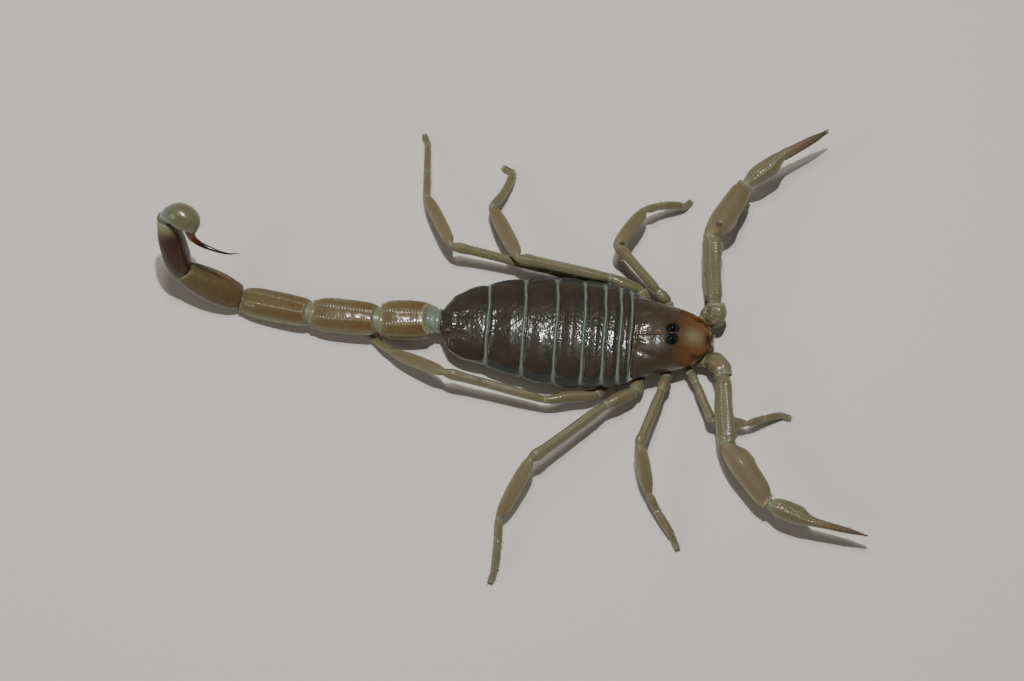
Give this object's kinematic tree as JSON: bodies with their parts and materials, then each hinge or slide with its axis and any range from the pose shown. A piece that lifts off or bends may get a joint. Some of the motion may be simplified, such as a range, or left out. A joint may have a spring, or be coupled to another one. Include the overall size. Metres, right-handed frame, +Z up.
{
  "type": "desert scorpion",
  "caption": "Slender smooth-backed burrowing desert scorpion at rest, pincers spread in front and the tail laid behind with its end curled up over a round sting bulb.",
  "frame": {"origin": "middle of the bounding box, on the floor the animal stands on", "axes": "+X towards the head, +Y to the animal's left, +Z up"},
  "size_m": [0.059, 0.0404, 0.0116],
  "materials": {
    "back_shell": "smooth wet-looking dark brown back plates with pale bands between them",
    "front_shell": "smooth glossy brown shell turning amber at the front",
    "underside": "satin pale yellow-brown chitin",
    "limb_shell": "translucent glossy olive-tan chitin",
    "tail_shell": "translucent glossy amber-brown chitin",
    "vesicle": "glossy grey-green chitin",
    "sting": "glossy, amber at the base and black at the tip",
    "eye": "mirror-smooth black"
  },
  "bodies": {
    "root": {"carapace": "front_shell", "sternum": "underside", "chelicera_left": "limb_shell", "median_eye_left": "eye", "pecten_left": "underside", "chelicera_right": "limb_shell", "median_eye_right": "eye", "pecten_right": "underside", "mesosoma_1": "back_shell", "mesosoma_2": "back_shell", "mesosoma_3": "back_shell", "mesosoma_4": "back_shell", "mesosoma_5": "back_shell", "mesosoma_6": "back_shell", "mesosoma_7": "back_shell", "metasoma_1": "tail_shell", "metasoma_2": "tail_shell", "metasoma_3": "tail_shell", "metasoma_4": "tail_shell", "metasoma_5": "tail_shell", "vesicle": "vesicle", "aculeus": "sting", "pedipalp_left_trochanter": "limb_shell", "pedipalp_left_femur": "limb_shell", "pedipalp_left_patella": "limb_shell", "pedipalp_left_palm": "limb_shell", "pedipalp_left_finger": "limb_shell", "leg_left_1_thigh": "limb_shell", "leg_left_1_patella": "limb_shell", "leg_left_1_foot": "limb_shell", "leg_left_2_thigh": "limb_shell", "leg_left_2_patella": "limb_shell", "leg_left_2_foot": "limb_shell", "leg_left_3_thigh": "limb_shell", "leg_left_3_patella": "limb_shell", "leg_left_3_foot": "limb_shell", "leg_left_4_thigh": "limb_shell", "leg_left_4_patella": "limb_shell", "leg_left_4_foot": "limb_shell", "pedipalp_right_trochanter": "limb_shell", "pedipalp_right_femur": "limb_shell", "pedipalp_right_patella": "limb_shell", "pedipalp_right_palm": "limb_shell", "pedipalp_right_finger": "limb_shell", "leg_right_1_thigh": "limb_shell", "leg_right_1_patella": "limb_shell", "leg_right_1_foot": "limb_shell", "leg_right_2_thigh": "limb_shell", "leg_right_2_patella": "limb_shell", "leg_right_2_foot": "limb_shell", "leg_right_3_thigh": "limb_shell", "leg_right_3_patella": "limb_shell", "leg_right_3_foot": "limb_shell", "leg_right_4_thigh": "limb_shell", "leg_right_4_patella": "limb_shell", "leg_right_4_foot": "limb_shell"}
  },
  "joints": []
}
